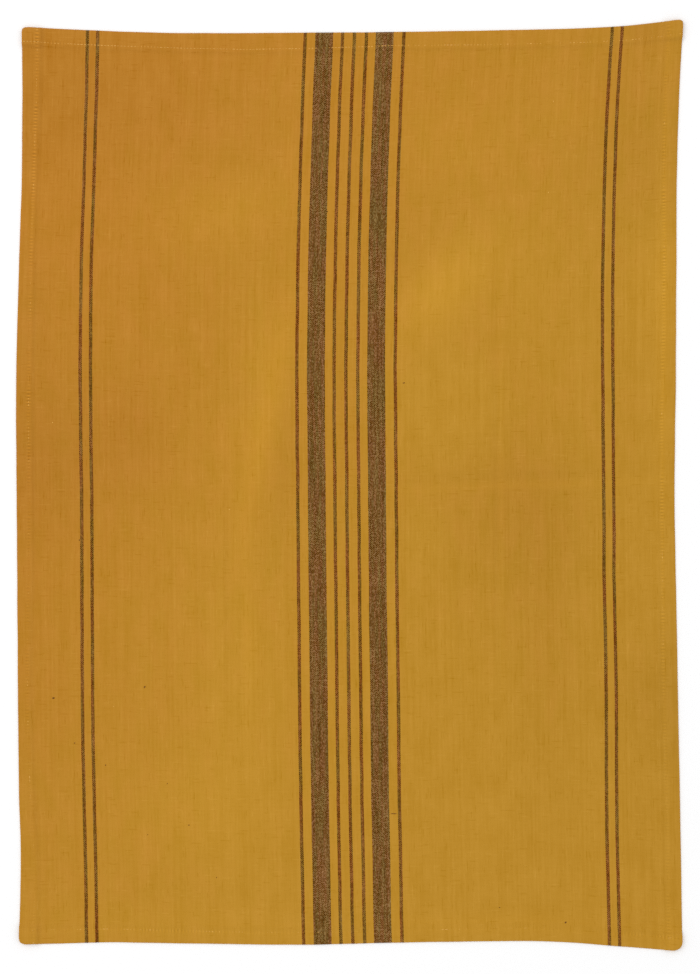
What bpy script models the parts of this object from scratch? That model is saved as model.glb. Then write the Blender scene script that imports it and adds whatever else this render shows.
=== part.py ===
# Tea towel: one plain-woven cloth with a double-turned hem on all four sides, spread out face up.
#
# Units are metres and +Z is up. +X runs across the towel, +Y runs along it, and the underside is
# flat at Z = 0. The origin is the middle of the towel's outline, on its underside.
#
# The cloth starts as a flat grid. Each grid line gets a place between the hemmed edges, the edges
# follow two short tables, the corners are rounded, and a Solidify modifier raises the upper face
# by the thickness of the layers that lie there.

from math import copysign, cos, exp, radians, sin, sqrt

import bmesh
import bpy

MM = 0.001

# Driving sizes of the hemmed towel
WIDTH = 502 * MM
LENGTH = 696 * MM
SIDE_HEM = 12 * MM
END_HEM = 12.5 * MM

# How thick the towel lies: one slack layer, a hem of three layers, and a corner where two hems cross
LAYER_THICKNESS = 1.0 * MM
HEM_THICKNESS = 1.8 * MM
CORNER_THICKNESS = 3 * MM
HEM_STEP = 2 * MM  # how wide the slope is from the hem down to the single layer
FOLD_ROUNDING = 1.2 * MM  # how far in from an edge the turned fold has reached its full thickness
FOLD_EDGE_SHARE = 0.6  # thickness of the very edge of a fold, as a share of the hem's

# Grid lines: close together over the hems, and then this far apart
HEM_LINES = (0, 1.2 * MM, 3.2 * MM, 7 * MM, 11.5 * MM, 14 * MM, 20 * MM)
BODY_PITCH = 24 * MM

# The side edges wander in and out. "up" is measured along the towel from its middle. "left" and
# "right" say how far each edge lies outside half the width there (mm, inside is negative).
SIDE_SECTIONS = (
    {"up": -348, "left": 0.1, "right": 1.9},
    {"up": -280, "left": -1.2, "right": 0.8},
    {"up": -235, "left": 0.1, "right": 0.0},
    {"up": -160, "left": 0.9, "right": -1.4},
    {"up": -70, "left": 1.5, "right": -3.1},
    {"up": -10, "left": 1.9, "right": -4.1},
    {"up": 80, "left": 2.3, "right": -3.2},
    {"up": 170, "left": 0.1, "right": -2.7},
    {"up": 230, "left": -1.9, "right": -2.4},
    {"up": 290, "left": -2.4, "right": -0.6},
    {"up": 348, "left": -2.1, "right": 2.4},
)

# The two ends bow in, and their right-hand corners are pulled out to ears. "across" is measured
# from the middle of the towel. "top" and "bottom" say how far each end lies outside half the
# length there (mm).
END_SECTIONS = (
    {"across": -251, "top": 0.0, "bottom": 1.0},
    {"across": -220, "top": -1.4, "bottom": 0.2},
    {"across": -185, "top": -3.1, "bottom": -0.6},
    {"across": -130, "top": -4.6, "bottom": 0.2},
    {"across": -40, "top": -4.3, "bottom": 1.2},
    {"across": 20, "top": -3.8, "bottom": -0.1},
    {"across": 80, "top": -3.0, "bottom": -1.1},
    {"across": 135, "top": -1.9, "bottom": -1.7},
    {"across": 165, "top": -1.2, "bottom": -0.5},
    {"across": 205, "top": 0.9, "bottom": 2.6},
    {"across": 251, "top": 5.9, "bottom": 6.1},
)

# How far each corner is rounded (mm)
CORNER_RADII = {"bottom left": 5, "bottom right": 8, "top left": 4, "top right": 4}

# Places where the cloth is slack and stands up in a low, soft rise. "across" and "up" are its
# middle, "wide" and "long" its half sizes, "turn" how far it leans to the left (mm and degrees).
SOFT_RISES = (
    {"across": -64, "up": -10, "wide": 17, "long": 150, "turn": -8, "height": 0.6},
    {"across": 62, "up": 148, "wide": 30, "long": 46, "turn": -55, "height": 0.6},
    {"across": 168, "up": -40, "wide": 34, "long": 80, "turn": 14, "height": 0.4},
    {"across": -175, "up": 90, "wide": 24, "long": 70, "turn": 5, "height": 0.5},
    {"across": -150, "up": -215, "wide": 40, "long": 60, "turn": -30, "height": 0.4},
    {"across": 120, "up": -250, "wide": 26, "long": 55, "turn": 62, "height": 0.4},
    {"across": 205, "up": 190, "wide": 22, "long": 60, "turn": -12, "height": 0.5},
    {"across": -130, "up": 270, "wide": 28, "long": 52, "turn": 70, "height": 0.4},
)


def clear_scene():
    for old in list(bpy.data.objects):
        bpy.data.objects.remove(old, do_unlink=True)


def curve_through(rows, place, column, at):
    """Value of a column at a place between the rows of a table, on a smooth curve through them."""
    places = [row[place] * MM for row in rows]
    values = [row[column] * MM for row in rows]
    last = len(rows) - 1
    step = 0
    while step < last - 1 and at > places[step + 1]:
        step += 1
    span = places[step + 1] - places[step]
    share = min(max((at - places[step]) / span, 0.0), 1.0)

    def slope(row):
        before = max(row - 1, 0)
        after = min(row + 1, last)
        return (values[after] - values[before]) / (places[after] - places[before])

    square, cube = share**2, share**3
    return (
        values[step] * (2 * cube - 3 * square + 1)
        + values[step + 1] * (3 * square - 2 * cube)
        + slope(step) * span * (cube - 2 * square + share)
        + slope(step + 1) * span * (cube - square)
    )


def soft_step(low, high, at):
    """0 below low, 1 above high, and a smooth slope between them."""
    share = min(max((at - low) / (high - low), 0.0), 1.0)
    return share * share * (3 - 2 * share)


def grid_lines(size):
    """Places of the grid lines over a width or length: close over both hems, even between them."""
    inner = size - 2 * HEM_LINES[-1]
    count = round(inner / BODY_PITCH)
    body = [HEM_LINES[-1] + inner * step / count for step in range(1, count)]
    far_hem = [size - place for place in reversed(HEM_LINES)]
    return [place - size / 2 for place in (*HEM_LINES, *body, *far_hem)]


def rounded_corner(across, up):
    """Moves a point of the square outline near a corner on to the corner's round."""
    side = "right" if across > 0 else "left"
    end = "top" if up > 0 else "bottom"
    radius = CORNER_RADII[f"{end} {side}"] * MM
    out_x = (abs(across) - (WIDTH / 2 - radius)) / radius
    out_y = (abs(up) - (LENGTH / 2 - radius)) / radius
    if out_x <= 0 or out_y <= 0:
        return across, up
    round_x = WIDTH / 2 - radius + radius * out_x * sqrt(1 - out_y**2 / 2)
    round_y = LENGTH / 2 - radius + radius * out_y * sqrt(1 - out_x**2 / 2)
    return copysign(round_x, across), copysign(round_y, up)


def spread_place(across, up):
    """Where a point of the straight towel lies once the edges follow their tables."""
    across, up = rounded_corner(across, up)
    left = -WIDTH / 2 - curve_through(SIDE_SECTIONS, "up", "left", up)
    right = WIDTH / 2 + curve_through(SIDE_SECTIONS, "up", "right", up)
    bottom = -LENGTH / 2 - curve_through(END_SECTIONS, "across", "bottom", across)
    top = LENGTH / 2 + curve_through(END_SECTIONS, "across", "top", across)
    x = left + (right - left) * (across / WIDTH + 0.5)
    y = bottom + (top - bottom) * (up / LENGTH + 0.5)
    return x, y


def slack_height(across, up):
    """How much the slack cloth rises over the flat cloth at a point."""
    height = 0.0
    for rise in SOFT_RISES:
        turn = radians(rise["turn"])
        dx = across - rise["across"] * MM
        dy = up - rise["up"] * MM
        over_width = (dx * cos(turn) + dy * sin(turn)) / (rise["wide"] * MM)
        over_length = (dy * cos(turn) - dx * sin(turn)) / (rise["long"] * MM)
        height += rise["height"] * MM * exp(-(over_width**2) - over_length**2)
    return height


def layered_thickness(across, up):
    """Thickness of the towel at a point: its layers there, its slack, and the round of the folds."""
    from_side = WIDTH / 2 - abs(across)
    from_end = LENGTH / 2 - abs(up)
    in_side_hem = 1 - soft_step(SIDE_HEM - HEM_STEP / 2, SIDE_HEM + HEM_STEP / 2, from_side)
    in_end_hem = 1 - soft_step(END_HEM - HEM_STEP / 2, END_HEM + HEM_STEP / 2, from_end)
    hem_gain = HEM_THICKNESS - LAYER_THICKNESS
    corner_gain = CORNER_THICKNESS - HEM_THICKNESS - hem_gain
    thickness = LAYER_THICKNESS + hem_gain * (in_side_hem + in_end_hem)
    thickness += corner_gain * in_side_hem * in_end_hem
    thickness += slack_height(across, up) * (1 - in_side_hem) * (1 - in_end_hem)
    from_edge = max(min(from_side, from_end), 0.0)
    return thickness * (FOLD_EDGE_SHARE + (1 - FOLD_EDGE_SHARE) * soft_step(0, FOLD_ROUNDING, from_edge))


def spread_sheet():
    """Mesh of the towel's flat underside, and the thickness of the towel over each vertex."""
    columns = grid_lines(WIDTH)
    rows = grid_lines(LENGTH)
    mesh = bpy.data.meshes.new("towel_cloth")
    sheet = bmesh.new()
    bmesh.ops.create_grid(sheet, x_segments=len(columns) - 1, y_segments=len(rows) - 1, size=1)
    thicknesses = []
    for vertex in sheet.verts:
        across = columns[round((vertex.co.x + 1) / 2 * (len(columns) - 1))]
        up = rows[round((vertex.co.y + 1) / 2 * (len(rows) - 1))]
        vertex.co = (*spread_place(across, up), 0)
        thicknesses.append(layered_thickness(across, up))
    middle_x = (min(v.co.x for v in sheet.verts) + max(v.co.x for v in sheet.verts)) / 2
    middle_y = (min(v.co.y for v in sheet.verts) + max(v.co.y for v in sheet.verts)) / 2
    bmesh.ops.translate(sheet, verts=sheet.verts, vec=(-middle_x, -middle_y, 0))
    sheet.to_mesh(mesh)
    sheet.free()
    return mesh, thicknesses


def woven_cotton():
    """Matt mustard cotton."""
    material = bpy.data.materials.new("mustard_cotton")
    material.use_nodes = True
    shader = material.node_tree.nodes["Principled BSDF"]
    shader.inputs["Base Color"].default_value = (0.497, 0.235, 0.026, 1)
    shader.inputs["Roughness"].default_value = 0.9
    shader.inputs["Metallic"].default_value = 0
    return material


def make_towel(collection):
    mesh, thicknesses = spread_sheet()
    mesh.materials.append(woven_cotton())
    towel = bpy.data.objects.new("towel_cloth", mesh)
    collection.objects.link(towel)

    thickest = max(thicknesses)
    group = towel.vertex_groups.new(name="layers")
    for index, thickness in enumerate(thicknesses):
        group.add([index], thickness / thickest, "REPLACE")
    layers = towel.modifiers.new("layers", "SOLIDIFY")
    layers.thickness = thickest
    layers.offset = 1
    layers.vertex_group = group.name
    mesh.shade_smooth()
    mesh.set_sharp_from_angle(angle=radians(50))
    return towel


def main():
    clear_scene()
    collection = bpy.data.collections.new("Tea towel")
    bpy.context.scene.collection.children.link(collection)
    make_towel(collection)


main()
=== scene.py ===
from math import cos, exp, pi, radians, sin, sqrt
import random

import bmesh
import bpy
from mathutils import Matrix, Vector, noise


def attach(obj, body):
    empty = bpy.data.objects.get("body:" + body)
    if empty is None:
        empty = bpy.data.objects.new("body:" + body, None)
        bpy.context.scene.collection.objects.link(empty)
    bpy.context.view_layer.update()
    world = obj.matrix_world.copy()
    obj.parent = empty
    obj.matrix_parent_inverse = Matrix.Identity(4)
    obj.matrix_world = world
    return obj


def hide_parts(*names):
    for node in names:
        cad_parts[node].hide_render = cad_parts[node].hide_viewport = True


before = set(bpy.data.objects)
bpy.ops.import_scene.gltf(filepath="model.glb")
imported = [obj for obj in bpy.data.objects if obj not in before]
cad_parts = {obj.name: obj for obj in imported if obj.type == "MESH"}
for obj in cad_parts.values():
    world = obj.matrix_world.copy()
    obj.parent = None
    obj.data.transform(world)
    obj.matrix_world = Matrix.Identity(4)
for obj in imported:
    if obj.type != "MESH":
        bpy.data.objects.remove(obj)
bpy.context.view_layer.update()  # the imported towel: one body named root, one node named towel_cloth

mm = 0.001
millis = 1000  # in a metre


def rowsOf(columns, *rows):
    # the rows of a table, each as a dictionary by the names of its columns
    return [dict(zip(columns.split(), row)) for row in rows]


# The towel's own sizes: hemmed width and length before its edges wander, and how its cloth is layered
towel = {
    "width": 502 * mm,
    "length": 696 * mm,
    "allowance": 17 * mm,  # cloth turned under at each edge, its raw edge tucked away inside the hem
    "seamAbout": 10 * mm,  # about how far in from the edge the sewing runs
    "hemPastSeam": 2 * mm,  # how far a hem's inner fold lies past its sewing
    "hemDrop": (0.5 * mm, 3.5 * mm),  # the face drops from this far before that fold to this far past it
    "layerPitch": 0.34 * mm,  # from one layer to the next in a pressed hem
    "clothThick": 0.32 * mm,
    "bodyPitch": 4.2 * mm,  # grid lines of the single cloth
    "seamDip": 0.14 * mm,  # how far the sewing pulls the layers together
    "dipReach": 0.9 * mm,
    "cornerRadii": {"bottom left": 5, "bottom right": 8, "top left": 4, "top right": 4},  # mm
}

# Where five lines of warp lie, section by section up the towel: its side edges, the middle of each
# side pair of stripes, and the middle stripe (all in mm from the towel's middle)
sections = rowsOf(
    "up left leftPair middle rightPair right",
    (-348, -251.1, -195.8, 2.4, 201.4, 252.9),
    (-280, -249.8, -196.8, 1.2, 199.9, 251.8),
    (-235, -251.1, -198.0, 0.3, 199.2, 251.0),
    (-160, -251.9, -199.1, -0.5, 199.0, 249.6),
    (-70, -252.5, -199.5, -1.5, 197.4, 247.9),
    (-10, -252.9, -199.7, -2.0, 197.1, 246.9),
    (80, -253.3, -200.8, -2.7, 196.4, 247.8),
    (170, -251.1, -200.1, -1.9, 196.3, 248.3),
    (230, -249.1, -198.2, -0.5, 197.6, 248.6),
    (290, -248.6, -196.4, 1.4, 199.9, 250.4),
    (348, -248.9, -195.1, 3.9, 203.6, 253.4),
)
# and where those lines lie on the straight towel
warpLines = [("left", -251), ("leftPair", -198.7), ("middle", 0), ("rightPair", 198.7), ("right", 251)]

# How far the two ends lie beyond half the length, station by station across the towel (mm)
ends = rowsOf(
    "across top bottom",
    (-251, 0.0, 1.0),
    (-220, -1.4, 0.2),
    (-185, -3.1, -0.6),
    (-130, -4.6, 0.2),
    (-40, -4.3, 1.2),
    (20, -3.8, -0.1),
    (80, -3.0, -1.1),
    (135, -1.9, -1.7),
    (165, -1.2, -0.5),
    (205, 0.9, 2.6),
    (251, 5.9, 6.1),
)

# Where each row of sewing runs. "at" is measured along it from the towel's middle and "inside" in from
# the edge (mm), and "shows" is 0 where the thread is sunk in the weave and 1 where it lies clear.
seamRuns = {
    "left": rowsOf(
        "at inside shows",
        (-348, 10.4, 0.1),
        (-300, 10.3, 0.15),
        (-245, 8.6, 0.1),
        (-186, 7.3, 0.3),
        (-125, 7.2, 0.3),
        (-65, 8.7, 0.2),
        (-4, 9.4, 0.4),
        (57, 9.4, 0.9),
        (118, 9.8, 0.4),
        (180, 9.1, 0.7),
        (240, 9.2, 0.8),
        (300, 10.8, 0.9),
        (348, 11.6, 0.8),
    ),
    "right": rowsOf(
        "at inside shows",
        (-348, 10.5, 0.3),
        (-247, 10.2, 0.2),
        (-186, 10.9, 0.3),
        (-125, 11.3, 0.6),
        (-65, 10.4, 0.7),
        (-4, 10.0, 0.7),
        (57, 10.8, 0.5),
        (118, 9.5, 0.6),
        (180, 9.3, 1.0),
        (240, 10.4, 0.5),
        (300, 11.2, 0.5),
        (348, 11.6, 0.5),
    ),
    "top": rowsOf(
        "at inside shows",
        (-251, 11.2, 1.0),
        (-155, 11.1, 0.9),
        (-83, 12.5, 0.8),
        (-30, 12.0, 0.7),
        (35, 10.3, 0.7),
        (80, 10.9, 0.7),
        (150, 10.8, 0.5),
        (226, 11.0, 0.7),
        (251, 11.2, 0.7),
    ),
    "bottom": rowsOf(
        "at inside shows",
        (-251, 11.0, 0.2),
        (-155, 9.9, 0.7),
        (-83, 9.3, 0.5),
        (0, 9.5, 0.2),
        (150, 9.8, 0.1),
        (226, 9.9, 0.5),
        (251, 9.9, 0.5),
    ),
}


def oval(across, up, wide, long, turn=0, height=0, tone=0, warm=0):
    # a soft oval place on the cloth: its middle and half sizes (mm), how far it leans to the left (degrees),
    # how high it stands (mm), and how much lighter and more orange its colour is painted, which in some
    # places is painted light and shade
    middle = {"across": across, "up": up, "wide": wide, "long": long, "turn": turn}
    return {**middle, "height": height, "tone": tone, "warm": warm}


# Low soft rises where the cloth is slack
softRises = [
    oval(-64, -10, 17, 150, turn=-8, height=0.6),
    oval(62, 148, 30, 46, turn=-55, height=0.6),
    oval(168, -40, 34, 80, turn=14, height=0.4),
    oval(-175, 90, 24, 70, turn=5, height=0.5),
    oval(-150, -215, 40, 60, turn=-30, height=0.4),
    oval(120, -250, 26, 55, turn=62, height=0.4),
    oval(205, 190, 22, 60, turn=-12, height=0.5),
    oval(-130, 270, 28, 52, turn=70, height=0.4),
]

# Creases left by folding, as low ridges and troughs; their tone is painted light on the ridges and painted
# shade in the troughs
creases = [
    oval(140, 0.3, 105, 3.4, turn=1.8, height=0.22, tone=0.03),
    oval(140, 9, 105, 4.5, turn=1.8, height=-0.08, tone=-0.015),
    oval(-62, 50, 8, 95, turn=-13, height=0.3, tone=0.045),
    oval(-47, 23, 9, 68, turn=-5, height=-0.15, tone=-0.045),
    oval(-79, -55, 7, 55, turn=-2, height=0.15, tone=0.02),
    oval(-74, -118, 7, 32, height=0.2, tone=0.025),
    oval(-46, 250, 5, 34, height=0.15, tone=0.025),
]

# Fine unevenness of the laid cloth
slack = {
    "cockle": 0.22 * mm,  # all over the single cloth
    "cockleSize": (38 * mm, 62 * mm),
    "fineCockle": 0.5,  # a finer one on top of it, as a share of its height
    "finerBy": (2.3, 2.1),
    "pucker": 0.20 * mm,  # short ripples that the sewing draws in beside each seam
    "puckerLength": 7 * mm,
    "puckerReach": 9 * mm,
    "puckerEnd": 2.5,  # they are gone this many reaches from the sewing
    "puckerChange": 0.8,  # how much they change over one reach
    "offTable": 0.35,  # added to both, which run from -1 to 1, so that most of the cloth is off the table
    "edgeWander": 0.18 * mm,
    "edgeWanderLength": 26 * mm,
    "edgeWanderDepth": 200 * mm,
    "hemShare": 0.3,  # how much of the rises, creases and cockle shows on the stiffer hems
    "hemReach": 12.5 * mm,
    "bodyFrom": 25 * mm,  # past the hem, where all of them shows
}

# Each unevenness of the shape takes its own piece of the noise. A seam's is multiplied by the number of
# letters in the seam's name, so that no two seams are alike.
noisePieces = {
    "edgeAcross": 3.1,
    "edgeAlong": 7.7,
    "cockle": 1.7,
    "fineCockle": 5.3,
    "pucker": 9.3,
    "rowDrift": 3.7,
    "stitchEase": 5.1,
}


def unevenness(x, y, z):
    # smooth, between -1 and 1
    return noise.noise(Vector((x, y, z)))


def softStep(low, high, at):
    share = min(max((at - low) / (high - low), 0.0), 1.0)
    return share * share * (3 - 2 * share)


def blend(start, end, share):
    return start + (end - start) * share


def curveThrough(rows, place, column, at):
    # value of a column between the rows of a table, on a smooth curve through them
    last = len(rows) - 1
    step = 0
    while step < last - 1 and at > rows[step + 1][place]:
        step += 1
    span = rows[step + 1][place] - rows[step][place]
    share = min(max((at - rows[step][place]) / span, 0.0), 1.0)

    def slope(row):
        before, after = rows[max(row - 1, 0)], rows[min(row + 1, last)]
        return (after[column] - before[column]) / (after[place] - before[place])

    square, cube = share**2, share**3
    return (
        rows[step][column] * (2 * cube - 3 * square + 1)
        + rows[step + 1][column] * (3 * square - 2 * cube)
        + slope(step) * span * (cube - 2 * square + share)
        + slope(step + 1) * span * (cube - square)
    )


def alongSeam(name, column, along):
    # a column of a seam's table at a place along it, on straight lines from row to row
    rows = seamRuns[name]
    step = 0
    while step < len(rows) - 2 and along * millis > rows[step + 1]["at"]:
        step += 1
    low, high = rows[step], rows[step + 1]
    share = min(max((along * millis - low["at"]) / (high["at"] - low["at"]), 0), 1)
    return blend(low[column], high[column], share)


def seamInside(name, along):
    return alongSeam(name, "inside", along) * mm


def sideName(across):
    return "left" if across < 0 else "right"


def endName(up):
    return "bottom" if up < 0 else "top"


def isSide(name):
    return name in ("left", "right")


def outwards(name):
    return -1 if name in ("left", "bottom") else 1


def roundedCorner(across, up):
    radius = towel["cornerRadii"][f"{endName(up)} {sideName(across)}"] * mm
    outX = (abs(across) - (towel["width"] / 2 - radius)) / radius
    outY = (abs(up) - (towel["length"] / 2 - radius)) / radius
    if outX <= 0 or outY <= 0:
        return across, up
    roundX = towel["width"] / 2 - radius + radius * outX * sqrt(max(1 - outY**2 / 2, 0))
    roundY = towel["length"] / 2 - radius + radius * outY * sqrt(max(1 - outX**2 / 2, 0))
    return (roundX if across > 0 else -roundX), (roundY if up > 0 else -roundY)


def spreadPlace(across, up):
    # where a point of the straight towel lies once its edges and its warp follow the tables
    across, up = roundedCorner(across, up)
    home = across * millis
    step = 0
    while step < len(warpLines) - 2 and home > warpLines[step + 1][1]:
        step += 1
    (lowLine, lowHome), (highLine, highHome) = warpLines[step], warpLines[step + 1]
    low = curveThrough(sections, "up", lowLine, up * millis)
    high = curveThrough(sections, "up", highLine, up * millis)
    x = blend(low, high, (home - lowHome) / (highHome - lowHome)) * mm
    bottom = -towel["length"] / 2 - curveThrough(ends, "across", "bottom", home) * mm
    top = towel["length"] / 2 + curveThrough(ends, "across", "top", home) * mm
    y = blend(bottom, top, up / towel["length"] + 0.5)
    run, depth = slack["edgeWanderLength"], slack["edgeWanderDepth"]
    x += unevenness(across / depth, up / run, noisePieces["edgeAcross"]) * slack["edgeWander"]
    y += unevenness(across / run, up / depth, noisePieces["edgeAlong"]) * slack["edgeWander"]
    return x, y


def seamPull(across, up):
    # ripples beside the seams: strongest at the sewing, gone a little way into the cloth
    pull = 0.0
    halfWidth, halfLength = towel["width"] / 2, towel["length"] / 2
    fromEdges = {"left": halfWidth + across, "right": halfWidth - across}
    fromEdges |= {"bottom": halfLength + up, "top": halfLength - up}
    for name, fromEdge in fromEdges.items():
        along = up if isSide(name) else across
        off = (fromEdge - seamInside(name, along)) / slack["puckerReach"]
        if abs(off) < slack["puckerEnd"]:
            piece = len(name) * noisePieces["pucker"]
            ripple = unevenness(along / slack["puckerLength"], piece, off * slack["puckerChange"])
            pull += (slack["offTable"] + ripple) * exp(-(off**2)) * slack["pucker"]
    return max(pull, 0.0)


def liftAt(across, up):
    # how far the whole stack of layers stands off the table
    height = 0.0
    for rise in softRises + creases:
        turn = radians(rise["turn"])
        dx, dy = across * millis - rise["across"], up * millis - rise["up"]
        overWidth = (dx * cos(turn) + dy * sin(turn)) / rise["wide"]
        overLength = (dy * cos(turn) - dx * sin(turn)) / rise["long"]
        height += rise["height"] * mm * exp(-(overWidth**2) - overLength**2)
    x, y = across / slack["cockleSize"][0], up / slack["cockleSize"][1]
    finerX, finerY = slack["finerBy"]
    cockle = unevenness(x, y, noisePieces["cockle"])
    cockle += slack["fineCockle"] * unevenness(x * finerX, y * finerY, noisePieces["fineCockle"])
    height += max(slack["offTable"] + cockle, 0) * slack["cockle"]
    fromEdge = min(towel["width"] / 2 - abs(across), towel["length"] / 2 - abs(up))
    inBody = softStep(slack["hemReach"], slack["hemReach"] + slack["bodyFrom"], fromEdge)
    return max(height, 0) * blend(slack["hemShare"], 1, inBody) + seamPull(across, up)


turnedLayers = 2  # a hem is turned under twice, which lays two layers on the first

# Grid lines over a turned hem, from its raw edge to the single cloth: the tucked edge, the inner fold,
# the underside and the outer fold by shares of each, and then the face by shares of the way to the
# sewing and by distances past it
hemLines = [("tucked", share) for share in (0, 0.3, 0.65, 1)]
hemLines += [("innerFold", share) for share in (0.15, 0.38, 0.62, 0.85)]
hemLines += [("under", share) for share in (0, 0.12, 0.3, 0.55, 0.8, 1)]
hemLines += [("outerFold", share) for share in (0.14, 0.32, 0.5, 0.68, 0.86)]
hemLines += [("edgeToSeam", share) for share in (0.18, 0.4, 0.66)]
hemLines += [("pastSeam", off * mm) for off in (-1.2, -0.5, 0, 0.5, 1.2, 2.2, 3.3, 4.6, 6.2, 8.5)]


def turnedShare(fromEdge, hem):
    # 1 on a hem, and falling to 0 on the single cloth
    before, past = towel["hemDrop"]
    return 1 - softStep(hem - before, hem + past, fromEdge)


def layersAt(fromEdge, hem):
    return 1 + turnedLayers * turnedShare(fromEdge, hem)


def foldRound(thick):
    # half the height of a hem, whose layers are each "thick" thick
    return (1 + turnedLayers) / 2 * thick


def foldedPlace(part, at, hem, thick, height):
    # where a point "height" up in a stack "thick" thick lies once that stack is turned into a hem:
    # how far in from the edge, and how high
    innerFold = hem - thick
    outerFold = foldRound(thick)
    if part == "tucked":
        return blend(2 * hem - towel["allowance"], innerFold, at), thick + height
    if part == "innerFold":
        return innerFold + height * sin(pi * at), thick + height * cos(pi * at)
    if part == "under":
        return blend(innerFold, outerFold, at), thick - height
    if part == "outerFold":
        reach = thick / 2 + height
        return outerFold - reach * sin(pi * at), outerFold - reach * cos(pi * at)
    return at, turnedLayers * thick * turnedShare(at, hem) + height


def flatPlace(part, at, hem):
    # the same line on the flat cut cloth, measured inwards from where the outer fold will be
    thin = towel["layerPitch"]
    spans = {
        "tucked": (-towel["allowance"], -hem - thin),
        "innerFold": (-hem - thin, -hem + thin),
        "under": (-hem + thin, -foldRound(thin)),
        "outerFold": (-foldRound(thin), foldRound(thin)),
    }
    return blend(*spans[part], at) if part in spans else at


def clothLines(size):
    # every grid line one way over the cloth: a hem, the single cloth, the other hem
    count = round(size / towel["bodyPitch"])
    lowHem = [(part, at, -1) for part, at in hemLines]
    body = [("body", step / count, 0) for step in range(1, count)]
    return lowHem + body + [(part, at, 1) for part, at in reversed(hemLines)]


def lineAt(line, size, seams):
    # one grid line where its hems' sewing lies "seams" in from the low and high edges: its part, its
    # place on that part, and its side
    part, at, side = line
    if part == "body":
        reach = hemLines[-1][1]
        place = blend(seams[0] + reach, size - seams[1] - reach, at)
        side = -1 if place < size / 2 else 1
        return "face", (place if side < 0 else size - place), side
    seam = seams[0] if side < 0 else seams[1]
    if part == "edgeToSeam":
        return "face", seam * at, side
    if part == "pastSeam":
        return "face", seam + at, side
    return part, at, side


def roughPlace(line, size):
    # about where a grid line lies from the middle, for reading the other way's tables
    part, at, side = lineAt(line, size, (towel["seamAbout"], towel["seamAbout"]))
    return side * (size / 2 - (at if part == "face" else 0))


def hemAt(name, along):
    return seamInside(name, along) + towel["hemPastSeam"]


def seamDip(part, fromEdge, seam):
    # the sewing draws the face down and the underside up
    depth = towel["seamDip"] * exp(-(((fromEdge - seam) / towel["dipReach"]) ** 2))
    return {"face": -depth, "under": depth}.get(part, 0.0)


def layClothPoint(column, row):
    # where a crossing of two grid lines lies on the towel, and where on the flat cut cloth
    width, length, thin = towel["width"], towel["length"], towel["layerPitch"]
    nearX, nearY = roughPlace(column, width), roughPlace(row, length)
    sideSeams = seamInside("left", nearY), seamInside("right", nearY)
    endSeams = seamInside("bottom", nearX), seamInside("top", nearX)
    columnPart, columnAt, side = lineAt(column, width, sideSeams)
    rowPart, rowAt, end = lineAt(row, length, endSeams)
    seamX, seamY = sideSeams[side > 0], endSeams[end > 0]
    hemX, hemY = seamX + towel["hemPastSeam"], seamY + towel["hemPastSeam"]
    fromSide, height = foldedPlace(columnPart, columnAt, hemX, thin, thin / 2)
    height += seamDip(columnPart, fromSide, seamX)
    fromEnd, z = foldedPlace(rowPart, rowAt, hemY, thin * layersAt(fromSide, hemX), height)
    z += seamDip(rowPart, fromEnd, seamY)
    across, up = side * (width / 2 - fromSide), end * (length / 2 - fromEnd)
    flatAcross = side * (width / 2 - flatPlace(columnPart, columnAt, hemX))
    flatUp = end * (length / 2 - flatPlace(rowPart, rowAt, hemY))
    return (*spreadPlace(across, up), z + liftAt(across, up)), (flatAcross, flatUp)


def faceHeight(across, up):
    # top of the cloth's face at a point of the straight towel
    onSide = layersAt(towel["width"] / 2 - abs(across), hemAt(sideName(across), up))
    onEnd = layersAt(towel["length"] / 2 - abs(up), hemAt(endName(up), across))
    stack = towel["layerPitch"] * onSide * onEnd
    return stack + liftAt(across, up) - (towel["layerPitch"] - towel["clothThick"]) / 2


def cutSize():
    return towel["width"] + 2 * towel["allowance"], towel["length"] + 2 * towel["allowance"]


def addObject(name, data):
    item = bpy.data.objects.new(name, data)
    bpy.context.scene.collection.objects.link(item)
    return item


def makeCloth():
    columns, rows = clothLines(towel["width"]), clothLines(towel["length"])
    cloth = bmesh.new()
    bmesh.ops.create_grid(cloth, x_segments=len(columns) - 1, y_segments=len(rows) - 1, size=1)
    flat = {}
    for vertex in cloth.verts:
        column = columns[round((vertex.co.x + 1) / 2 * (len(columns) - 1))]
        row = rows[round((vertex.co.y + 1) / 2 * (len(rows) - 1))]
        vertex.co, flat[vertex] = layClothPoint(column, row)
    weaveMap = cloth.loops.layers.uv.new("flatCloth")  # metres on the flat cut cloth
    bakeMap = cloth.loops.layers.uv.new("OFBake")  # the same, fitted to a square image
    cutWidth, cutLength = cutSize()
    for face in cloth.faces:
        for loop in face.loops:
            across, up = flat[loop.vert]
            loop[weaveMap].uv = (across, up)
            loop[bakeMap].uv = (across / cutWidth + 0.5, up / cutLength + 0.5)
    mesh = bpy.data.meshes.new("wovenTowel")
    cloth.to_mesh(mesh)
    cloth.free()
    mesh.shade_smooth()
    piece = addObject("wovenTowel", mesh)
    thickness = piece.modifiers.new("cloth thickness", "SOLIDIFY")
    thickness.thickness = towel["clothThick"]
    thickness.offset = 0
    return piece


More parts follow.
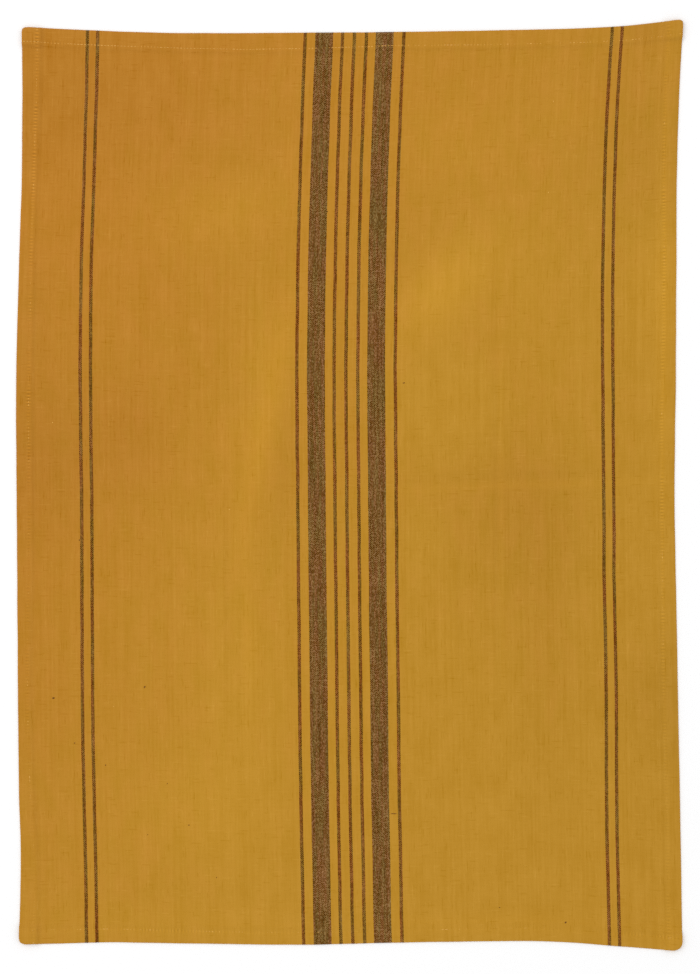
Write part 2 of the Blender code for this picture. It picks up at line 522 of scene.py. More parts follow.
# Sewing thread: one row of lockstitch inside each edge, seen on the face and on the underside
sewing = {
    "threadRadius": 0.24 * mm,
    "stitch": 2.5 * mm,  # from needle hole to needle hole
    "showing": 0.76,  # share of each stitch that lies on the surface
    "arch": 0.16 * mm,
    "endsLower": 0.45,  # how far a stitch's ends lie below its middle, as a share of the arch
    "endRadius": 0.173 * mm,
    # how far the thread lies down in the weave where it shows, and where it doesn't
    "sink": {"left": 0.24 * mm, "right": 0.3 * mm, "top": 0.06 * mm, "bottom": 0.22 * mm},
    "sunk": 0.46 * mm,
    "sinkWander": 0.22 * mm,
    "sinkChance": (-0.4, 0.5),  # least and most that chance adds for a single stitch, in sinkWanders
    "easePerStitch": 0.31,  # how fast the rest of it comes and goes
    "tableClear": 0.6,  # how high over the table a thread stays at least, in arches
    "fromCorner": 0.6 * mm,
    "wander": 0.25 * mm,  # how far a row drifts in and out
    "wanderLength": 30 * mm,
    "unevenStitch": 0.12,  # how far a needle hole is off along the row, in stitches
    "unevenRow": 0.06,  # and to the side of it (mm)
    "sides": 6,
    "rings": 5,
    "seeds": {"left": 39, "right": 46, "top": 32, "bottom": 53, "faceSewing": 342, "underSewing": 340},
}


def addRod(points, faces, rings, sides):
    # a closed rod through rings, each given as its centre and its half width and half height as vectors
    first = len(points)
    for centre, halfWide, halfHigh in rings:
        for corner in range(sides):
            turn = 2 * pi * corner / sides
            points.append(centre + halfWide * cos(turn) + halfHigh * sin(turn))
    for step in range(len(rings) - 1):
        for corner in range(sides):
            a = first + step * sides + corner
            b = first + step * sides + (corner + 1) % sides
            faces.append((a, b, b + sides, a + sides))
    last = len(points) - sides
    faces.append(tuple(first + corner for corner in reversed(range(sides))))
    faces.append(tuple(last + corner for corner in range(sides)))


def newPiece(name, points, faces):
    mesh = bpy.data.meshes.new(name)
    mesh.from_pydata(points, [], faces)
    mesh.shade_smooth()
    return addObject(name, mesh)


def addStitch(points, faces, start, end, sign):
    # one stitch: a short arched tube from hole to hole, its ends drawn into the cloth
    along = (end - start).normalized()
    up = Vector((0, 0, sign))
    across = up.cross(along).normalized()
    rings = []
    for step in range(sewing["rings"]):
        share = step / (sewing["rings"] - 1)
        arch = sin(pi * share) - sewing["endsLower"]
        centre = start.lerp(end, share) + up * (sewing["arch"] * arch)
        radius = blend(sewing["endRadius"], sewing["threadRadius"], sin(pi * share))
        rings.append((centre, across * radius, up * radius))
    addRod(points, faces, rings, sewing["sides"])


def seamRow(name):
    # (across, up) of the needle holes of one seam, in order
    length, width = towel["length"], towel["width"]
    if not isSide(name):
        length, width = width, length
    last = length / 2 - sewing["fromCorner"]
    count = int(length / sewing["stitch"])
    chance = random.Random(sewing["seeds"][name])
    unevenStitch, unevenRow = sewing["unevenStitch"], sewing["unevenRow"]
    holes = []
    for step in range(count + 1):
        along = blend(-last, last, step / count)
        along += chance.uniform(-unevenStitch, unevenStitch) * sewing["stitch"]
        drift = unevenness(along / sewing["wanderLength"], len(name) * noisePieces["rowDrift"], 0)
        fromEdge = seamInside(name, along) + drift * sewing["wander"]
        fromEdge += chance.uniform(-unevenRow, unevenRow) * mm
        off = (width / 2 - fromEdge) * outwards(name)
        holes.append((off, along) if isSide(name) else (along, off))
    return holes


def dippedFace(across, up):
    return faceHeight(across, up) - towel["seamDip"]


def underHeight(across, up):
    return liftAt(across, up) + towel["seamDip"]


def makeSewing(pieceName, heightAt, sign):
    points, faces = [], []
    chance = random.Random(sewing["seeds"][pieceName])
    gap = (1 - sewing["showing"]) / 2
    lowest = sewing["threadRadius"] + sewing["tableClear"] * sewing["arch"]
    for name in seamRuns:
        holes = seamRow(name)
        for number, (start, end) in enumerate(zip(holes, holes[1:])):
            ease = unevenness(number * sewing["easePerStitch"], len(name) * noisePieces["stitchEase"], sign)
            along = start[1] if isSide(name) else start[0]
            sink = blend(sewing["sunk"], sewing["sink"][name], alongSeam(name, "shows", along))
            sink += (ease + chance.uniform(*sewing["sinkChance"])) * sewing["sinkWander"]
            tips = []
            for share in (gap, 1 - gap):
                across, up = blend(start[0], end[0], share), blend(start[1], end[1], share)
                z = max(heightAt(across, up) - sign * sink, lowest)
                tips.append(Vector((*spreadPlace(across, up), z)))
            addStitch(points, faces, *tips, sign)
    return newPiece(pieceName, points, faces)


# Small knots and thick places in the yarn that show as specks on the face, dark ones and pale ones (mm)
neps = {
    "darkNeps": rowsOf(
        "across up long wide turn",
        (-208.9, -196.0, 1.3, 0.8, 20),
        (-185.3, -212.8, 1.2, 0.7, 80),
        (-225.0, -161.8, 2.0, 1.3, 10),
        (-155.7, -153.4, 1.8, 1.1, 60),
        (-122.0, -258.3, 1.3, 0.8, 0),
        (164.1, -332.4, 2.0, 1.4, 35),
        (-16.8, 207.8, 1.1, 0.7, 90),
        (41.2, 77.6, 1.9, 0.8, 15),
        (-205.3, -41.7, 1.2, 0.7, 70),
        (33.5, -249.7, 5.2, 0.7, 0),
        (-153.5, -265.6, 0.9, 0.55, 30),
        (-101.1, -298.2, 0.9, 0.6, 85),
        (114.0, -321.0, 1.1, 0.65, 10),
        (-138.4, -226.8, 1.0, 0.6, 60),
    ),
    "paleNeps": rowsOf(
        "across up long wide turn",
        (155.0, 291.5, 1.3, 0.65, 80),
        (-225.7, 47.6, 1.1, 0.55, 90),
        (-91.2, -18.5, 1.2, 0.6, 10),
        (151.2, 222.4, 1.2, 0.55, 85),
        (-179.4, -168.3, 1.1, 0.5, 5),
    ),
}
nepShape = {"sides": 8, "rings": 5, "height": 0.16 * mm}


def makeNeps(name):
    points, faces = [], []
    for nep in neps[name]:
        x, y = nep["across"] * mm, nep["up"] * mm
        turn = radians(nep["turn"])
        along = Vector((cos(turn), sin(turn), 0))
        across = Vector((-sin(turn), cos(turn), 0))
        up = Vector((0, 0, 1))
        middle = Vector((x, y, faceHeight(x, y)))
        rings = []
        for step in range(nepShape["rings"]):
            share = (step + 0.5) / nepShape["rings"]
            centre = middle - along * (cos(pi * share) * nep["long"] * mm / 2)
            girth = sin(pi * share)
            rings.append((centre, across * (girth * nep["wide"] * mm / 2), up * (girth * nepShape["height"])))
        addRod(points, faces, rings, nepShape["sides"])
    return newPiece(name, points, faces)


def dye(red, green, blue):
    # a colour as seen on screen, 0 to 255, as Blender's own linear values
    def linear(value):
        value /= 255
        return value / 12.92 if value <= 0.04045 else ((value + 0.055) / 1.055) ** 2.4

    return (linear(red), linear(green), linear(blue), 1)


def feed(tree, sockets, values):
    # each value is a number, a colour or another node's socket
    for socket, value in zip(sockets, values):
        if isinstance(value, bpy.types.NodeSocket):
            tree.links.new(value, socket)
        else:
            socket.default_value = value


def mathOf(tree, operation, *inputs):
    node = tree.nodes.new("ShaderNodeMath")
    node.operation = operation
    feed(tree, node.inputs, inputs)
    return node.outputs[0]


def times(tree, first, second):
    return mathOf(tree, "MULTIPLY", first, second)


def timesPlus(tree, first, second, third):
    return mathOf(tree, "MULTIPLY_ADD", first, second, third)


def rangeOf(tree, value, low, high, newLow=0.0, newHigh=1.0):
    node = tree.nodes.new("ShaderNodeMapRange")
    node.interpolation_type = "SMOOTHSTEP"
    feed(tree, node.inputs, (value, low, high, newLow, newHigh))
    return node.outputs[0]


def mixOf(tree, factor, first, second, blendType="MIX"):
    node = tree.nodes.new("ShaderNodeMix")
    node.data_type = "RGBA"
    node.blend_type = blendType
    feed(tree, (node.inputs[0], node.inputs[6], node.inputs[7]), (factor, first, second))
    return node.outputs[2]


def greyOf(tree, value):
    join = tree.nodes.new("ShaderNodeCombineColor")
    feed(tree, join.inputs, (value, value, value))
    return join.outputs[0]


def noiseOf(tree, x, y, grain):
    # noise that changes about "perX" times while x grows by 1, and so for y, in a layer of its own
    join = tree.nodes.new("ShaderNodeCombineXYZ")
    feed(tree, join.inputs, (times(tree, x, grain["perX"]), times(tree, y, grain["perY"]), grain["layer"]))
    node = tree.nodes.new("ShaderNodeTexNoise")
    sockets = [node.inputs[name] for name in ("Vector", "Scale", "Detail")]
    feed(tree, sockets, (join.outputs[0], 1.0, grain.get("detail", 2)))
    return node.outputs["Fac"]


def unevenOf(tree, x, y, grain):
    # the same, from about -0.5 to 0.5
    return mathOf(tree, "SUBTRACT", noiseOf(tree, x, y, grain), 0.5)


def fleckOf(tree, perMetre):
    # fine noise all through a piece
    place = tree.nodes.new("ShaderNodeTexCoord")
    node = tree.nodes.new("ShaderNodeTexNoise")
    feed(tree, (node.inputs["Vector"], node.inputs["Scale"]), (place.outputs["Object"], perMetre))
    return node.outputs["Fac"]


def addBump(tree, shader, height, distance, strength):
    bump = tree.nodes.new("ShaderNodeBump")
    sockets = [bump.inputs[name] for name in ("Height", "Distance", "Strength")]
    feed(tree, sockets, (height, distance, strength))
    tree.links.new(bump.outputs[0], shader.inputs["Normal"])


def newMaterial(name, finish):
    # "finish" holds values for the shader's own sockets
    material = bpy.data.materials.new(name)
    material.use_nodes = True
    shader = material.node_tree.nodes["Principled BSDF"]
    for socket, value in finish.items():
        shader.inputs[socket].default_value = value
    return material, material.node_tree, shader


# What the woven cloth looks like. A "grain" says how often an unevenness changes in a metre, or from
# thread to thread. A "range" is the noise at which something begins, and at which it is complete.
weave = {
    "warp": {"pitch": 0.645 * mm, "drift": {"perX": 55, "perY": 24, "layer": 2}},
    "weft": {"pitch": 0.77 * mm, "drift": {"perX": 22, "perY": 60, "layer": 9}},
    "threadWander": 1,  # how far the threads drift from side to side, in threads
    "flatness": 0.6,  # of a thread's top: 1 is round, and less is flatter
    # painted shade between the threads, and painted light on their tops
    "gapShade": {"from": 0.55, "ground": 0.08, "stripes": 0.63},  # how much darker it is between threads
    "bump": 0.05 * mm,
    "bumpStrength": 0.7,
    "roughness": {"low": 0.92, "onTop": -0.12},  # between the threads, and how it changes on top
    "finish": {"Specular IOR Level": 0.03, "Sheen Weight": 0.12, "Sheen Roughness": 0.5},
}

# Thick and thin places of the threads: how much lighter the thick ones are, how much more the thin
# ones darken, and how far the thick ones stand up
slub = {
    "warp": {"tone": 0.055, "grain": {"perX": 1.71, "perY": 70, "layer": 31, "detail": 1}},
    "weft": {"tone": 0.045, "grain": {"perX": 80, "perY": 1.71, "layer": 37, "detail": 1}},
    "thickRange": (0.65, 0.74),
    "thinRange": (0.35, 0.26),
    "thin": -1.3,
    "height": 0.5,
}

# The mustard yarn, as it is without and with full warmth, and where it is warmer: more orange to the
# left and the top, more yellow to the right and below
mustard = {
    "yellow": dye(184.0, 134.3, 41.5),
    "orange": dye(184.0, 123.1, 40),
    "pale": dye(187, 156, 91),
    "warmth": 0.27,
    "warmthAcross": -1.8,  # in a metre
    "warmthAlong": 1.2,
    "drift": 0.5,
    "driftGrain": {"perX": 9, "perY": 7, "layer": 11},
    "softEnd": 0.2,  # how gently the warmth ends at yellow
}

# The brown yarns: the thin stripes' is plain, and the wide ones' is dark and flecked with pale places.
# Each runs from red to olive along a thread. A stripe lies on both sides of the middle: "first" is its
# first thread counted from there, "threads" how many it has, and "flecked" how much of it is the
# wide stripes' yarn.
brown = {
    "stripes": rowsOf(
        "first threads flecked",
        (0, 2, 0),
        (12, 4, 0),
        (25, 21, 1),
        (56, 4, 0),
        (300, 4, 0),
        (312, 4, 0),
    ),
    "thin": {"deep": (dye(88, 27, 0), dye(66, 48, 0)), "fleck": (dye(147, 87, 44), dye(126, 101, 34))},
    "wide": {"deep": (dye(70, 25, 0), dye(46, 32, 0)), "fleck": (dye(142, 103, 78), dye(120, 108, 68))},
    "pale": dye(120, 98, 66),
    "weft": dye(164, 111, 34),
    "weftRange": (-0.1, -0.5),
    "olive": {"perX": 0.3, "perY": 22, "layer": 15},
    "oliveRange": (0.38, 0.62),
    "flecks": {"perX": 0.83, "perY": 0.83, "layer": 21, "detail": 1},
    "fleckRange": (0.46, 0.64),
    "mostFleck": 0.95,
}

# How the tone of the yarn changes: "perX" from one thread to the next, "perY" in a metre along a
# thread, and how strongly it shows in the mustard ground and in the brown stripes
yarnTones = rowsOf(
    "yarn perX perY layer detail ground stripes",
    ("warp", 0.3, 4.5, 40, 1, 0.11, 0.5),
    ("warp", 0.5, 22, 45, 1, 0.085, 0.75),
    ("warp", 0.6, 90, 50, 1, 0.07, 0.95),
    ("weft", 0.4, 14, 55, 1, 0.035, 0.2),
    ("weft", 0.6, 90, 60, 1, 0.05, 0.5),
)

# Uneven dyeing in soft patches that lie along the warp
dyePatch = {"tone": 0.135, "warmth": 0.7, "grain": {"perX": 80, "perY": 38, "layer": 13, "detail": 1}}

# Places painted lighter and darker, and more orange and more yellow: partly uneven dye and fading, partly
# painted light and shade where the cloth's slack places, ridges and hems catch and lose the light
dyeAndShadePlaces = [
    oval(-215, 300, 110, 60, tone=-0.06, warm=0.15),
    oval(-235, 25, 60, 72, tone=-0.08, warm=0.2),
    oval(-240, -160, 40, 120, tone=-0.025, warm=0.125),
    oval(-95, 212, 55, 28, turn=10, tone=0.055, warm=-0.14),
    # painted light on the slack ridge left of the middle stripe
    oval(-62, 75, 26, 75, turn=-12, tone=0.08, warm=-0.2),
    oval(-65, 170, 50, 150, warm=-0.15),
    oval(-82, -150, 45, 120, turn=-4, tone=0.045, warm=-0.18),
    oval(-120, -250, 60, 45, tone=0.035, warm=-0.11),
    oval(-162, 40, 32, 50, tone=-0.035, warm=0.2),
    # painted light on the soft rise in the upper right half
    oval(72, 150, 24, 46, turn=-45, tone=0.12, warm=-0.3),
    oval(75, 62, 42, 42, tone=0.03, warm=-0.7),
    oval(80, 262, 48, 36, tone=0.03, warm=-0.08),
    oval(135, 160, 34, 60, tone=0.02, warm=-0.15),
    oval(242, 150, 30, 46, tone=0.065, warm=-0.22),
    oval(140, -25, 55, 70, turn=20, tone=-0.062, warm=0.28),
    oval(150, -160, 30, 120, tone=-0.03, warm=0.2),
    oval(232, -160, 40, 50, tone=-0.055, warm=0.4),
    oval(215, 265, 50, 70, tone=-0.035, warm=0.1),
    # a painted highlight along the right hem
    oval(241, 165, 4.5, 170, tone=0.06),
    oval(110, -335, 80, 8, tone=0.035),
    oval(-120, -334, 130, 18, tone=0.03, warm=-0.12),
    oval(241, -338, 12, 18, tone=0.05, warm=-0.3),
    oval(220, -265, 18, 60, tone=-0.02, warm=0.28),
    oval(247, -185, 10, 95, tone=-0.03),
    oval(244, 60, 12, 55, tone=0.03, warm=-0.3),
    oval(172, 285, 18, 18, tone=0.04),
    oval(220, 344, 16, 14, tone=-0.045, warm=0.12),
    oval(-240, 130, 14, 48, tone=-0.035),
    oval(-76, 72, 18, 16, tone=-0.04),
    oval(58, -38, 14, 26, tone=0.015, warm=-0.4),
]

# Long streaks along the warp, where its threads lie closer or further apart, as soft narrow ovals
warpStreaks = [
    oval(112.5, -10, 2.4, 150, tone=-0.02),
    oval(117.0, -10, 2.2, 150, tone=0.022),
    oval(84.0, -90, 1.6, 75, tone=-0.015),
    oval(-92.7, -72, 2.3, 85, tone=-0.022),
    oval(-77.5, -115, 3.2, 70, tone=0.014),
    oval(-83.0, -92, 1.8, 75, tone=-0.012),
    oval(-118.0, -80, 1.6, 75, tone=0.014),
]


def bellOf(tree, distance, middle, reach):
    # 1 at the middle, and falling smoothly away from it
    off = timesPlus(tree, distance, 1 / reach, -middle / reach)
    return mathOf(tree, "EXPONENT", times(tree, times(tree, off, off), -1))


def spotOf(tree, across, along, spot):
    # 1 in the middle of a soft oval, 0 outside it
    turn, wide, long = radians(spot["turn"]), spot["wide"] * mm, spot["long"] * mm
    dx = mathOf(tree, "SUBTRACT", across, spot["across"] * mm)
    dy = mathOf(tree, "SUBTRACT", along, spot["up"] * mm)
    overWidth = timesPlus(tree, dx, cos(turn) / wide, times(tree, dy, sin(turn) / wide))
    overLength = timesPlus(tree, dy, cos(turn) / long, times(tree, dx, -sin(turn) / long))
    square = timesPlus(tree, overWidth, overWidth, times(tree, overLength, overLength))
    return mathOf(tree, "EXPONENT", times(tree, square, -1))


# How the sewing shows in the cloth round it: painted light and shade in bars where it is drawn in at each
# stitch, a rubbed, lighter line, and a faint painted shade line inside the hem, where its layers end and the
# face steps down
seamLook = {
    "reach": 1.4 * mm,
    "dimple": 0.9,
    "rubbed": {"left": 0.055, "right": 0.06, "top": 0.01, "bottom": 0.025},
    # painted light and shade of the bars at each stitch, seam by seam
    "paintedLadder": {"left": 0.18, "right": 0.17, "top": 0.05, "bottom": 0.1},
    # the bars come closer and lie further apart along a row, and are fainter and stronger
    "uneven": {"perX": 70, "perY": 2.3, "layer": 7.6},
    "barShift": 9,  # radians
    "barRange": (0.3, 0.7),
    "barStrength": (0.1, 1.7),
    # the painted shade line inside the hem: how far past the sewing it lies, how wide it is, and how much
    # darker
    "shadeFrom": 2.8 * mm,
    "shadeReach": 1.6 * mm,
    "shade": -0.026,
    "mostInside": 20,  # mm, more than any row of sewing lies in from its edge
}


def seamColumn(tree, name, column, run, most):
    # a column of a seam's table as a curve node, for values from 0 to "most"
    rows = seamRuns[name]
    start, span = rows[0]["at"], rows[-1]["at"] - rows[0]["at"]
    node = tree.nodes.new("ShaderNodeFloatCurve")
    line = node.mapping.curves[0]
    for row in rows[1:-1]:
        line.points.new((row["at"] - start) / span, row[column] / most)
    line.points[0].location = (0, rows[0][column] / most)
    line.points[-1].location = (1, rows[-1][column] / most)
    for point in line.points:
        point.handle_type = "VECTOR"
    node.mapping.update()
    tree.links.new(timesPlus(tree, run, millis / span, -start / span), node.inputs["Value"])
    return times(tree, node.outputs[0], most)


def seamMarks(tree, across, along):
    # how deep the cloth is drawn in beside the sewing, and how much its colour is painted lighter and darker
    # there: painted light and shade in bars at each stitch, the lighter line along the sewing, and a painted
    # shade line inside the hem
    dimples, shade = 0.0, 0.0
    for name in seamRuns:
        off, run = (across, along) if isSide(name) else (along, across)
        half = (towel["width"] if isSide(name) else towel["length"]) / 2
        inside = times(tree, seamColumn(tree, name, "inside", run, seamLook["mostInside"]), mm)
        past = mathOf(tree, "SUBTRACT", timesPlus(tree, off, -outwards(name), half), inside)
        near = bellOf(tree, past, 0, seamLook["reach"])
        uneven = noiseOf(tree, run, len(name), seamLook["uneven"])
        turns = timesPlus(tree, run, 2 * pi / sewing["stitch"], times(tree, uneven, seamLook["barShift"]))
        strength = rangeOf(tree, uneven, *seamLook["barRange"], *seamLook["barStrength"])
        bars = times(tree, mathOf(tree, "SINE", turns), strength)
        dimples = timesPlus(tree, near, bars, dimples)
        # painted shade where the face steps down from the hem's layers
        stepShade = bellOf(tree, past, seamLook["shadeFrom"], seamLook["shadeReach"])
        shade = timesPlus(tree, stepShade, seamLook["shade"], shade)
        shows = times(tree, near, seamColumn(tree, name, "shows", run, 1))
        # painted light and shade in bars at each stitch, added to the lighter line along the sewing
        light = timesPlus(tree, bars, seamLook["paintedLadder"][name], seamLook["rubbed"][name])
        shade = timesPlus(tree, shows, light, shade)
    return dimples, shade


def threadCount(tree, across, along, yarn):
    # threads counted from the middle, drifting a little as woven threads do
    look = weave[yarn]
    drift = unevenOf(tree, across, along, look["drift"])
    straight = times(tree, across if yarn == "warp" else along, 1 / look["pitch"])
    return timesPlus(tree, drift, weave["threadWander"], straight)


def stripesOf(tree, warpThread):
    # 1 in a stripe and 0 in the ground, and how flecked the stripe's yarn is
    fromMiddle = mathOf(tree, "ABSOLUTE", mathOf(tree, "ADD", warpThread, 0.5))
    inStripe, flecked = 0.0, 0.0
    for stripe in brown["stripes"]:
        half = stripe["threads"] / 2
        hit = mathOf(tree, "COMPARE", fromMiddle, stripe["first"] + half, half)
        inStripe = mathOf(tree, "ADD", inStripe, hit)
        flecked = timesPlus(tree, hit, stripe["flecked"], flecked)
    return inStripe, flecked


def byYarn(tree, inStripe, look):
    # one value in the ground and another in the stripes
    return timesPlus(tree, inStripe, look["stripes"] - look["ground"], look["ground"])


def yarnToneOf(tree, places, inStripe):
    # each thread has its own tone, which changes along it
    runs = {"warp": (places["warpThread"], places["along"]), "weft": (places["weftThread"], places["across"])}
    tone = 0.0
    for row in yarnTones:
        threadTone = unevenOf(tree, *runs[row["yarn"]], row)
        tone = timesPlus(tree, threadTone, byYarn(tree, inStripe, row), tone)
    return tone


def slubOf(tree, x, y, grain):
    # 1 where a thread is thick, below 0 where it is thin
    thickness = noiseOf(tree, x, y, grain)
    thick = rangeOf(tree, thickness, *slub["thickRange"])
    thin = rangeOf(tree, thickness, *slub["thinRange"], 0, slub["thin"])
    return mathOf(tree, "ADD", thick, thin)


def brownYarn(tree, places, flecked):
    # red here and olive there along each thread, with pale flecks thread by thread
    olive = noiseOf(tree, places["warpThread"], places["along"], brown["olive"])
    olive = rangeOf(tree, olive, *brown["oliveRange"])
    fleck = noiseOf(tree, places["warpThread"], places["weftThread"], brown["flecks"])
    fleck = rangeOf(tree, fleck, *brown["fleckRange"], 0, brown["mostFleck"])
    yarns = []
    for look in (brown["thin"], brown["wide"]):
        deep, pale = mixOf(tree, olive, *look["deep"]), mixOf(tree, olive, *look["fleck"])
        yarns.append(mixOf(tree, fleck, deep, pale))
    return mixOf(tree, flecked, *yarns)


def makeWovenCotton():
    material, tree, shader = newMaterial("wovenCotton", weave["finish"])
    lines = tree.nodes.new("ShaderNodeUVMap")
    lines.uv_map = "flatCloth"
    split = tree.nodes.new("ShaderNodeSeparateXYZ")
    tree.links.new(lines.outputs[0], split.inputs[0])
    across, along = split.outputs[0], split.outputs[1]
    warpCount = threadCount(tree, across, along, "warp")
    weftCount = threadCount(tree, across, along, "weft")
    warpThread = mathOf(tree, "FLOOR", warpCount)
    weftThread = mathOf(tree, "FLOOR", weftCount)
    places = {"across": across, "along": along, "warpThread": warpThread, "weftThread": weftThread}

    # plain weave: above 0 a warp thread lies on top, below 0 a weft thread
    waves = [mathOf(tree, "SINE", times(tree, count, pi)) for count in (warpCount, weftCount)]
    crossing = times(tree, *waves)
    pillow = mathOf(tree, "POWER", mathOf(tree, "ABSOLUTE", crossing), weave["flatness"])
    inStripe, flecked = stripesOf(tree, warpThread)

    # tone: the yarn's own, the dyeing, painted shade between the threads and painted light on their tops, and
    # the slubs
    yarnTone = yarnToneOf(tree, places, inStripe)
    patch = unevenOf(tree, across, along, dyePatch["grain"])
    yarnTone = timesPlus(tree, patch, dyePatch["tone"], yarnTone)
    # painted shade between the threads and painted light on their tops
    aboveGap = mathOf(tree, "SUBTRACT", pillow, weave["gapShade"]["from"])
    yarnTone = timesPlus(tree, aboveGap, byYarn(tree, inStripe, weave["gapShade"]), yarnTone)
    warpSlub = slubOf(tree, warpThread, along, slub["warp"]["grain"])
    weftSlub = slubOf(tree, across, weftThread, slub["weft"]["grain"])
    yarnTone = timesPlus(tree, warpSlub, slub["warp"]["tone"], yarnTone)
    yarnTone = timesPlus(tree, weftSlub, slub["weft"]["tone"], yarnTone)

    # how warm the mustard is, and how much lighter and darker the cloth is painted: the warp streaks and
    # uneven fading, and painted light and shade on the creases, slack places and hems
    warmth = timesPlus(tree, along, mustard["warmthAlong"], mustard["warmth"])
    warmth = timesPlus(tree, across, mustard["warmthAcross"], warmth)
    drift = unevenOf(tree, across, along, mustard["driftGrain"])
    warmth = timesPlus(tree, drift, mustard["drift"], warmth)
    shadeAndFade = 0.0
    # painted light and shade on the creases and on many of these places, with the warp streaks and the fading
    for place in dyeAndShadePlaces + warpStreaks + creases:
        spot = spotOf(tree, across, along, place)
        shadeAndFade = timesPlus(tree, spot, place["tone"], shadeAndFade)
        warmth = timesPlus(tree, spot, place["warm"], warmth)
    warmth = timesPlus(tree, patch, dyePatch["warmth"], warmth)
    warmth = mathOf(tree, "SMOOTH_MAX", warmth, 0.0, mustard["softEnd"])

    # the mustard weft shows in the brown stripes as small dots between the threads
    ground = mixOf(tree, warmth, mustard["yellow"], mustard["orange"])
    weftDot = rangeOf(tree, crossing, *brown["weftRange"])
    striped = mixOf(tree, weftDot, brownYarn(tree, places, flecked), brown["weft"])
    colour = mixOf(tree, inStripe, ground, striped)
    dimples, seamShade = seamMarks(tree, across, along)
    # the painted light and shade of the seams, creases and slack places, with the seams' lighter line, the
    # warp streaks and the fading, scale the colour
    light = mathOf(tree, "ADD", mathOf(tree, "ADD", seamShade, 1.0), shadeAndFade)
    colour = mixOf(tree, 1.0, colour, greyOf(tree, light), "MULTIPLY")

    # a lighter place in a thread is also paler, and a darker one deeper
    pale = mixOf(tree, inStripe, mustard["pale"], brown["pale"])
    shaded = tree.nodes.new("ShaderNodeVectorMath")
    shaded.operation = "MULTIPLY_ADD"
    feed(tree, shaded.inputs, (pale, yarnTone, colour))
    roughness = timesPlus(tree, pillow, weave["roughness"]["onTop"], weave["roughness"]["low"])
    feed(tree, (shader.inputs["Base Color"], shader.inputs["Roughness"]), (shaded.outputs[0], roughness))

    height = timesPlus(tree, mathOf(tree, "ADD", warpSlub, weftSlub), slub["height"], pillow)
    height = timesPlus(tree, dimples, seamLook["dimple"], height)
    addBump(tree, shader, height, weave["bump"], weave["bumpStrength"])
    return material


# The sewing thread: pale mustard, two-ply
threadLook = {
    "pale": dye(234, 182, 96),
    "deep": dye(204, 150, 62),
    "flecksPerMetre": 420,
    "fleckRange": (0.35, 0.65),
    "roughness": 0.52,
    "rougherInFlecks": 0.2,
    "pliesPerMetre": 3000,
    "bump": 0.04 * mm,
    "finish": {"Specular IOR Level": 0.3},
}


def makeThreadCotton():
    material, tree, shader = newMaterial("sewingThread", threadLook["finish"])
    fleck = fleckOf(tree, threadLook["flecksPerMetre"])
    tone = rangeOf(tree, fleck, *threadLook["fleckRange"])
    colour = mixOf(tree, tone, threadLook["pale"], threadLook["deep"])
    roughness = timesPlus(tree, fleck, threadLook["rougherInFlecks"], threadLook["roughness"])
    feed(tree, (shader.inputs["Base Color"], shader.inputs["Roughness"]), (colour, roughness))
    addBump(tree, shader, fleckOf(tree, threadLook["pliesPerMetre"]), threadLook["bump"], 1)
    return material


# The deeper and the lighter colour of each kind of nep
nepLook = {
    "darkNeps": (dye(88, 54, 26), dye(132, 86, 36)),
    "paleNeps": (dye(212, 162, 72), dye(230, 180, 92)),
    "flecksPerMetre": 900,
    "fleckRange": (0.35, 0.65),
    "finish": {"Roughness": 0.9, "Specular IOR Level": 0.1},
}


def makeNepCotton(name):
    material, tree, shader = newMaterial(name, nepLook["finish"])
    tone = rangeOf(tree, fleckOf(tree, nepLook["flecksPerMetre"]), *nepLook["fleckRange"])
    tree.links.new(mixOf(tree, tone, *nepLook[name]), shader.inputs["Base Color"])
    return material


# The photograph's frame: its size, its scale on the table, and where the towel's middle lies in it
shot = {
    "wide": 700,
    "high": 974,
    "pixel": 0.76 * mm,
    "towelMiddle": (349.55, 485.1),
    "lens": 85,
    "sensor": 36,
    "farthest": 20,  # metres that it sees
}


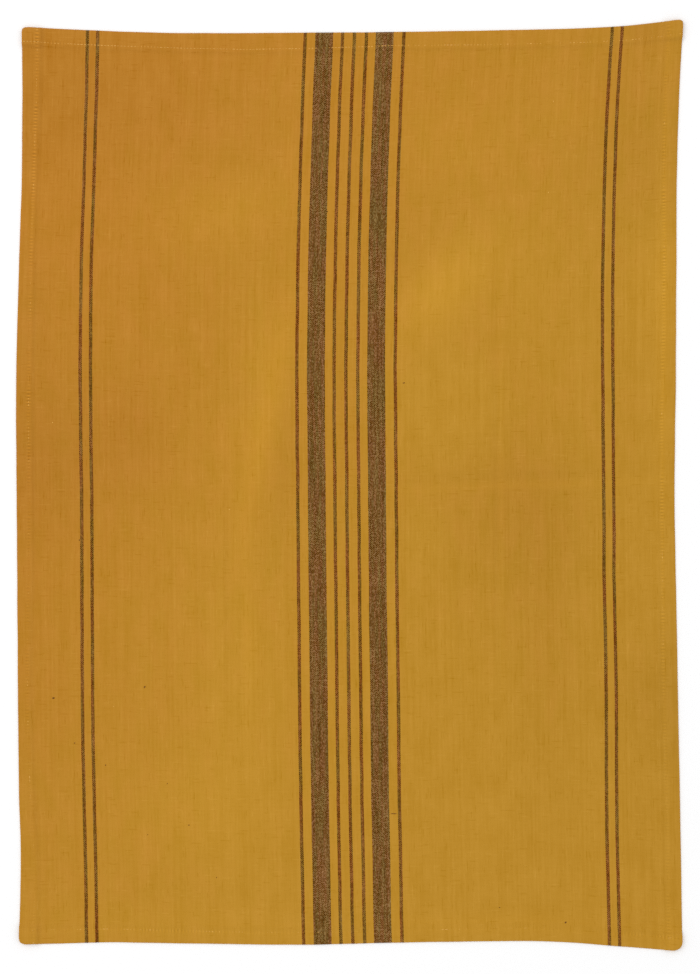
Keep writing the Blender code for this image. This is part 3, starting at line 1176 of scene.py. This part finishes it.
def makeCamera():
    camera = addObject("camera", bpy.data.cameras.new("camera"))
    camera.data.lens = shot["lens"]
    camera.data.sensor_width = shot["sensor"]
    distance = shot["high"] * shot["pixel"] * shot["lens"] / shot["sensor"]
    middleX, middleY = shot["towelMiddle"]
    x = (shot["wide"] / 2 - middleX) * shot["pixel"]
    y = (middleY - shot["high"] / 2) * shot["pixel"]
    camera.location = (x, y, distance)
    camera.data.clip_end = shot["farthest"]
    bpy.context.scene.camera = camera


# A white table under an even, soft sky, with one large lamp to the upper left for form
studio = {
    "tableSize": 24,
    "tableDrop": 0.02 * mm,  # the table lies this far under the towel
    "tableFinish": {"Base Color": dye(251, 251, 251), "Roughness": 0.8, "Specular IOR Level": 0.1},
    "sky": 0.92,
    "lampPower": 18,
    "lampSize": 2.2,
    "lampPlace": (-1.4, 1.2, 2.4),
}


def makeStudio():
    world = bpy.data.worlds.new("softSky")
    bpy.context.scene.world = world
    world.use_nodes = True
    sky = world.node_tree.nodes["Background"]
    sky.inputs["Color"].default_value = (1, 1, 1, 1)
    sky.inputs["Strength"].default_value = studio["sky"]

    lamp = addObject("softLamp", bpy.data.lights.new("softLamp", "AREA"))
    lamp.data.energy = studio["lampPower"]
    lamp.data.size = studio["lampSize"]
    lamp.location = studio["lampPlace"]
    lamp.rotation_euler = (-Vector(studio["lampPlace"])).to_track_quat("-Z", "Y").to_euler()

    bpy.ops.mesh.primitive_plane_add(size=studio["tableSize"], location=(0, 0, -studio["tableDrop"]))
    table = bpy.context.object
    table.name = "paleTable"
    table.data.materials.append(newMaterial("paleTable", studio["tableFinish"])[0])
    bpy.context.scene.view_settings.view_transform = "Standard"
    bpy.context.scene.cycles.use_denoising = False  # it would smear the weave


def dressTowel():
    cotton, thread = makeWovenCotton(), makeThreadCotton()
    print("mixed the cotton and the thread")
    cloth = makeCloth()
    cloth.data.materials.append(cotton)
    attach(cloth, "root")
    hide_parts("towel_cloth")
    print("laid the cloth with its turned hems:", len(cloth.data.polygons), "faces on one side")
    extras = [makeSewing("faceSewing", dippedFace, 1), makeSewing("underSewing", underHeight, -1)]
    for rows in extras:
        rows.data.materials.append(thread)
    print("sewed the hems:", sum(len(rows.data.polygons) for rows in extras), "faces")
    for name in neps:
        specks = makeNeps(name)
        specks.data.materials.append(makeNepCotton(name))
        extras.append(specks)
    for piece in extras:
        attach(piece, "root")
    print("added the neps in the yarn")


makeCamera()
makeStudio()
dressTowel()
